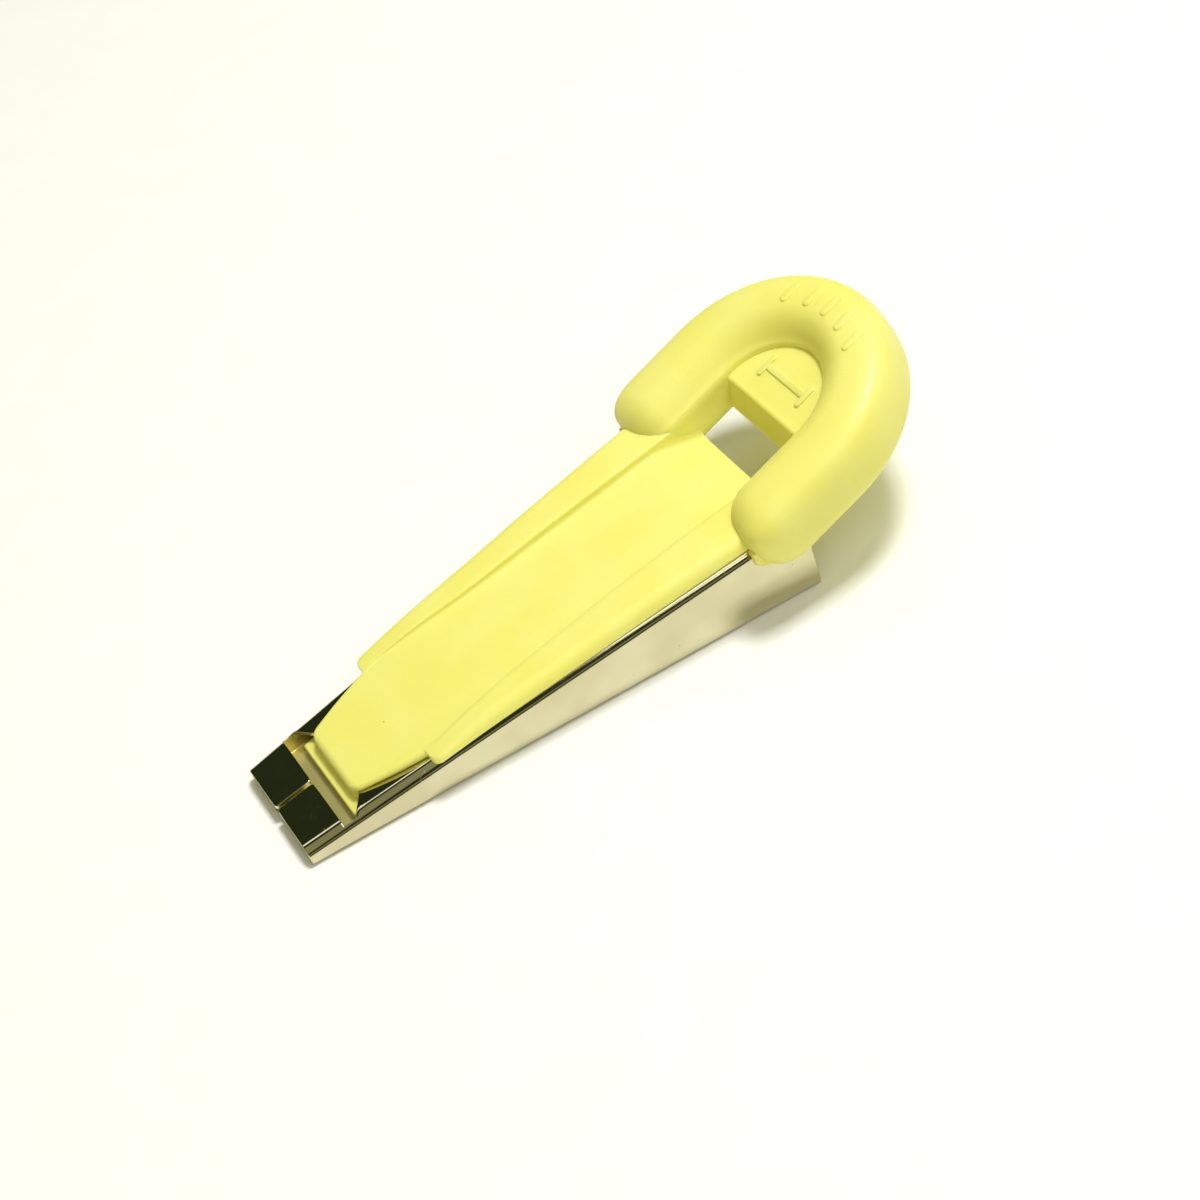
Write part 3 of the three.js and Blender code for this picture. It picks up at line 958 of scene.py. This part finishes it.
# %% Edge wear: where a rounded edge turns away from the face's own direction
def edge_wear_group():
    group, entry, leave = start_group("edge_wear", [("Radius", 0.0002), ("Break up", 2.0)], ["Mask"])
    rounded = group.nodes.new("ShaderNodeBevel")
    rounded.samples = 4
    group.links.new(entry.outputs["Radius"], rounded.inputs["Radius"])
    surface = group.nodes.new("ShaderNodeNewGeometry")
    agree = group.nodes.new("ShaderNodeVectorMath")
    agree.operation = "DOT_PRODUCT"
    group.links.new(rounded.outputs["Normal"], agree.inputs[0])
    group.links.new(surface.outputs["Normal"], agree.inputs[1])
    edge = band(group, agree.outputs["Value"], 0.995, 0.85)
    noise = group.nodes.new("ShaderNodeTexNoise")
    group.links.new(millimetres(group), noise.inputs["Vector"])
    group.links.new(entry.outputs["Break up"], noise.inputs["Scale"])
    broken = band(group, noise.outputs["Fac"], 0.35, 0.6)
    group.links.new(maths(group, "MULTIPLY", edge, broken), leave.inputs["Mask"])
    return group


# %% Hairline scratches: thin stretched cells turned a little off the long axis
def scratch_group():
    group, entry, leave = start_group("hairline_scratches", [("Density", 1.2)], ["Mask"])
    place_mm = millimetres(group)
    masks = []
    for turn, stretch in ((0.16, 0.05), (-0.5, 0.08)):
        mapping = group.nodes.new("ShaderNodeMapping")
        mapping.inputs["Rotation"].default_value = (0.0, 0.0, turn)
        mapping.inputs["Scale"].default_value = (stretch, 1.0, 1.0)
        group.links.new(place_mm, mapping.inputs["Vector"])
        cells = group.nodes.new("ShaderNodeTexVoronoi")
        cells.feature = "DISTANCE_TO_EDGE"
        group.links.new(mapping.outputs["Vector"], cells.inputs["Vector"])
        group.links.new(entry.outputs["Density"], cells.inputs["Scale"])
        masks.append(band(group, cells.outputs["Distance"], 0.02, 0.0))
    noise = group.nodes.new("ShaderNodeTexNoise")
    noise.inputs["Scale"].default_value = 0.5
    group.links.new(place_mm, noise.inputs["Vector"])
    here = band(group, noise.outputs["Fac"], 0.5, 0.62)
    both = maths(group, "MAXIMUM", masks[0], masks[1])
    group.links.new(maths(group, "MULTIPLY", both, here), leave.inputs["Mask"])
    return group


# %% Specks: a few grains of dust or pigment
def speck_group():
    group, entry, leave = start_group("specks", [("Density", 0.5), ("Size", 0.07)], ["Mask"])
    cells = group.nodes.new("ShaderNodeTexVoronoi")
    group.links.new(millimetres(group), cells.inputs["Vector"])
    group.links.new(entry.outputs["Density"], cells.inputs["Scale"])
    near = maths(group, "LESS_THAN", cells.outputs["Distance"], entry.outputs["Size"])
    tint = group.nodes.new("ShaderNodeSeparateColor")
    group.links.new(cells.outputs["Color"], tint.inputs["Color"])
    few = maths(group, "GREATER_THAN", tint.outputs["Red"], 0.72)
    group.links.new(maths(group, "MULTIPLY", near, few), leave.inputs["Mask"])
    return group


# %% Inside of the channel: a mask where the steel is made rougher and carries a painted yellow reflection of the moulding
DULL_STEP = 0.1


def tapered(group, along_x, measure_at):
    """A height or width that changes evenly along the channel, as nodes."""
    slope = (measure_at(FOLDER_LENGTH) - measure_at(0)) / FOLDER_LENGTH
    at_origin = measure_at(0) - slope * EXIT_X
    return maths(group, "ADD", maths(group, "MULTIPLY", along_x, slope), at_origin)


def inside_group():
    """White on the faces between the walls and under the lips, which both taper along the tool."""
    group, entry, leave = start_group("channel_inside", [("Step", DULL_STEP)], ["Mask"])
    point = group.nodes.new("ShaderNodeSeparateXYZ")
    group.links.new(millimetres(group), point.inputs[0])
    aside = maths(group, "ABSOLUTE", point.outputs["Y"], 0.0)
    to_wall = maths(group, "SUBTRACT", tapered(group, point.outputs["X"], wall_inside_at), aside)
    to_lip = maths(group, "SUBTRACT", tapered(group, point.outputs["X"], lip_top_at), point.outputs["Z"])
    steps_in = maths(group, "DIVIDE", maths(group, "SUBTRACT", to_lip, SHEET), entry.outputs["Step"])
    below_lip = band(group, steps_in, -1.0, 0.0)
    steps_across = maths(group, "DIVIDE", to_wall, entry.outputs["Step"])
    within_wall = band(group, steps_across, -1.0, 0.0)
    above_floor = band(group, point.outputs["Z"], SHEET * 0.4, SHEET * 0.8)
    between = maths(group, "MULTIPLY", within_wall, below_lip)
    group.links.new(maths(group, "MULTIPLY", between, above_floor), leave.inputs["Mask"])
    return group


GRAIN = grain_group()
EDGE_WEAR = edge_wear_group()
SCRATCHES = scratch_group()
SPECKS = speck_group()
INSIDE = inside_group()
print("effects:", [group.name for group in (GRAIN, EDGE_WEAR, SCRATCHES, SPECKS, INSIDE)])

# %% [markdown]
# ## The yellow moulding
# The plastic is a pale lemon yellow. Light soaks a little way into it, so its shaded sides glow golden
# and no shadow on it is hard, which the shader's subsurface setting gives. Its surface is satin
# with a fine grain that sparkles under a lamp. Large faint patches come from the way the melt flowed,
# handled edges are a little paler and smoother, and a few dark specks sit in the surface.

# %% Helpers that put effects in a material
def start_material(name):
    material = bpy.data.materials.new(name)
    material.use_nodes = True
    nodes = material.node_tree.nodes
    nodes.clear()
    output = nodes.new("ShaderNodeOutputMaterial")
    shader = nodes.new("ShaderNodeBsdfPrincipled")
    material.node_tree.links.new(shader.outputs["BSDF"], output.inputs["Surface"])
    return material, shader


def effect(tree, group, **values):
    node = tree.nodes.new("ShaderNodeGroup")
    node.node_tree = group
    for label, value in values.items():
        node.inputs[label.replace("_", " ")].default_value = value
    return node


def mix_colour(tree, mask, first, second):
    node = tree.nodes.new("ShaderNodeMix")
    node.data_type = "RGBA"
    tree.links.new(mask, node.inputs["Factor"])
    for socket, value in ((node.inputs["A"], first), (node.inputs["B"], second)):
        if isinstance(value, tuple):
            socket.default_value = (*value, 1.0)
        else:
            tree.links.new(value, socket)
    return node.outputs["Result"]


def bump(tree, shader, height, strength, depth):
    node = tree.nodes.new("ShaderNodeBump")
    node.inputs["Strength"].default_value = strength
    node.inputs["Distance"].default_value = depth * MM
    tree.links.new(height, node.inputs["Height"])
    tree.links.new(node.outputs["Normal"], shader.inputs["Normal"])


# %% Yellow plastic
LEMON = (0.86, 0.825, 0.215)
LEMON_FLOW = (0.845, 0.80, 0.175)
LEMON_WORN = (0.90, 0.865, 0.28)
SPECK_BROWN = (0.30, 0.25, 0.06)
PLASTIC_IOR = 1.49
GLOW_WEIGHT = 0.25
GLOW_REACH = (1.0, 0.8, 0.12)
GLOW_DEPTH = 1.5
SATIN_RANGE = (0.36, 0.5)
WEAR_SHOWS = 0.45
WEAR_POLISH = 0.08


def yellow_plastic():
    material, shader = start_material("yellow_plastic")
    tree = material.node_tree
    grain = effect(tree, GRAIN, Scale=5.5)
    wear = effect(tree, EDGE_WEAR, Radius=0.0003, Break_up=1.5)
    specks = effect(tree, SPECKS, Density=0.33, Size=0.03)
    flow = mix_colour(tree, grain.outputs["Patches"], LEMON, LEMON_FLOW)
    faint_wear = maths(tree, "MULTIPLY", wear.outputs["Mask"], WEAR_SHOWS)
    worn = mix_colour(tree, faint_wear, flow, LEMON_WORN)
    colour = mix_colour(tree, specks.outputs["Mask"], worn, SPECK_BROWN)
    tree.links.new(colour, shader.inputs["Base Color"])
    satin = band(tree, grain.outputs["Height"], 0.3, 0.7, *SATIN_RANGE)
    polished = maths(tree, "MULTIPLY", wear.outputs["Mask"], WEAR_POLISH)
    tree.links.new(maths(tree, "SUBTRACT", satin, polished), shader.inputs["Roughness"])
    shader.inputs["IOR"].default_value = PLASTIC_IOR
    shader.inputs["Subsurface Weight"].default_value = GLOW_WEIGHT
    shader.inputs["Subsurface Radius"].default_value = GLOW_REACH
    shader.inputs["Subsurface Scale"].default_value = GLOW_DEPTH * MM
    bump(tree, shader, grain.outputs["Height"], strength=0.5, depth=0.03)
    return material


def dress(pieces, material):
    for piece in pieces:
        piece.data.materials.clear()
        piece.data.materials.append(material)
    print(material.name, "on:", [piece.name for piece in pieces])


dress((cover, core, ring, mark), yellow_plastic())

# %% [markdown]
# ## The plated steel
# The channel has a bright plated finish with a faint warm tint. It mirrors the room, so the lips look
# almost black where they face an unlit wall and the near side looks like the table. Hairline scratches
# and slightly duller patches on the sheet break the mirror, and the plating is a touch warmer where
# edges have rubbed. Inside the channel a mask makes the steel rougher and mixes in a painted brassy
# yellow reflection of the moulding, so the one sheet keeps one material.

# %% Plated steel
STEEL_BRIGHT = (0.70, 0.66, 0.45)
STEEL_DULL = (0.63, 0.58, 0.38)
STEEL_RUBBED = (0.82, 0.76, 0.52)
# The brassy yellow colour for the inside of the channel is a painted reflection of the yellow moulding.
STEEL_INSIDE_PAINTED_REFLECTION = (0.70, 0.62, 0.24)
STEEL_SPOT = (0.20, 0.19, 0.12)
MIRROR_RANGE = (0.05, 0.08)
INSIDE_DULLNESS = 0.4
SCRATCH_DULLNESS = 0.12
DUST_DULLNESS = 0.4


def plated_steel():
    material, shader = start_material("plated_steel")
    tree = material.node_tree
    grain = effect(tree, GRAIN, Scale=3.0)
    wear = effect(tree, EDGE_WEAR, Radius=0.00012, Break_up=2.5)
    scratches = effect(tree, SCRATCHES, Density=1.1)
    specks = effect(tree, SPECKS, Density=1.1, Size=0.05)
    inside = effect(tree, INSIDE)
    plated = mix_colour(tree, grain.outputs["Patches"], STEEL_BRIGHT, STEEL_DULL)
    # Inside the channel the colour is mixed towards the painted yellow reflection of the moulding.
    sheet = mix_colour(tree, inside.outputs["Mask"], plated, STEEL_INSIDE_PAINTED_REFLECTION)
    rubbed = mix_colour(tree, wear.outputs["Mask"], sheet, STEEL_RUBBED)
    colour = mix_colour(tree, specks.outputs["Mask"], rubbed, STEEL_SPOT)
    tree.links.new(colour, shader.inputs["Base Color"])
    shader.inputs["Metallic"].default_value = 1.0
    rough = band(tree, grain.outputs["Patches"], 0.0, 1.0, *MIRROR_RANGE)
    layers = ((inside, INSIDE_DULLNESS), (scratches, SCRATCH_DULLNESS), (specks, DUST_DULLNESS))
    for layer, dullness in layers:
        added = maths(tree, "MULTIPLY", layer.outputs["Mask"], dullness)
        rough = maths(tree, "ADD", rough, added)
    tree.links.new(rough, shader.inputs["Roughness"])
    bump(tree, shader, grain.outputs["Height"], strength=0.04, depth=0.004)
    return material


dress((folder,), plated_steel())

# %% [markdown]
# ## Table and light
# The tool lies on a plain pale table. One small lamp high on the right casts its short soft shadow, and
# a long ceiling panel puts the bright line on the steel's bends. A window, a dim warm ceiling and a
# low warm wall stand in front, where the rounded rims mirror them. Warm fill from three sides keeps
# the shadow light. It is hidden from reflections, because the lips should mirror a dark room. The
# room's own colour is dark for the steel and pale behind the table, so every side has a plain ground.

# %% Table
TABLE_HALF_SIZE = 1.6
TABLE_PALE = (0.93, 0.925, 0.885)
TABLE_PATCH = (0.92, 0.915, 0.87)


def pale_table():
    bm = bmesh.new()
    across = steps(-TABLE_HALF_SIZE, TABLE_HALF_SIZE, 8)
    grid_faces(bm, [[Vector((x, y, 0)) for y in across] for x in across])
    table = finish_mesh(bm, "table_top", PRESSED_SMOOTH)
    if table.data.polygons[0].normal.z < 0:
        table.data.flip_normals()
    material, shader = start_material("table_paint")
    tree = material.node_tree
    grain = effect(tree, GRAIN, Scale=2.0)
    colour = mix_colour(tree, grain.outputs["Patches"], TABLE_PALE, TABLE_PATCH)
    tree.links.new(colour, shader.inputs["Base Color"])
    tree.links.new(band(tree, grain.outputs["Height"], 0.3, 0.7, 0.75, 0.85), shader.inputs["Roughness"])
    table.data.materials.append(material)
    return table


table = pale_table()
print("table, m:", [round(size, 2) for size in table.dimensions])


# %% Lamps, all aimed at the tool
DAYLIGHT = (0.98, 0.985, 1.0)
LAMPLIGHT = (1.0, 0.95, 0.6)
GOLDEN = (1.0, 0.9, 0.5)


def soft_lamp(name, position, width, height, watts, colour, mirrored_in_steel):
    light = bpy.data.lights.new(name, "AREA")
    light.shape = "RECTANGLE"
    light.size = width
    light.size_y = height
    light.energy = watts
    light.color = colour
    lamp = bpy.data.objects.new(name, light)
    lamp.location = position
    lamp.rotation_euler = (-lamp.location).to_track_quat("-Z", "Y").to_euler()
    lamp.visible_glossy = mirrored_in_steel
    bpy.context.collection.objects.link(lamp)


soft_lamp("table_lamp", (0.2, -0.02, 0.6), 0.14, 0.14, 3.0, DAYLIGHT, True)
soft_lamp("ceiling_panel", (-0.05, 0.32, 0.6), 0.8, 0.13, 0.42, DAYLIGHT, True)
soft_lamp("side_window", (0.15, -0.42, 0.58), 0.5, 0.46, 1.5, DAYLIGHT, True)
soft_lamp("warm_ceiling", (-0.28, -0.38, 0.6), 0.42, 1.2, 0.45, LAMPLIGHT, True)
soft_lamp("warm_wall", (0.1, -0.9, 0.25), 1.2, 0.2, 0.16, GOLDEN, True)
soft_lamp("front_fill", (-0.1, -0.85, 0.5), 1.5, 0.8, 0.9, GOLDEN, False)
soft_lamp("left_fill", (-0.7, -0.2, 0.5), 0.8, 0.8, 1.1, GOLDEN, False)
soft_lamp("back_fill", (0.3, 0.7, 0.6), 0.8, 0.8, 1.5, GOLDEN, False)

# %% Room
ROOM_DARK = (0.022, 0.032, 0.014)
ROOM_PALE = (0.9, 0.9, 0.86)
room = bpy.data.worlds.new("dim_room")
room.use_nodes = True
background = room.node_tree.nodes["Background"]
rays = room.node_tree.nodes.new("ShaderNodeLightPath")
wall = mix_colour(room.node_tree, rays.outputs["Is Camera Ray"], ROOM_DARK, ROOM_PALE)
room.node_tree.links.new(wall, background.inputs["Color"])
background.inputs["Strength"].default_value = 1.0
bpy.context.scene.world = room
bpy.context.scene.view_settings.view_transform = "Standard"
print("room:", room.name)
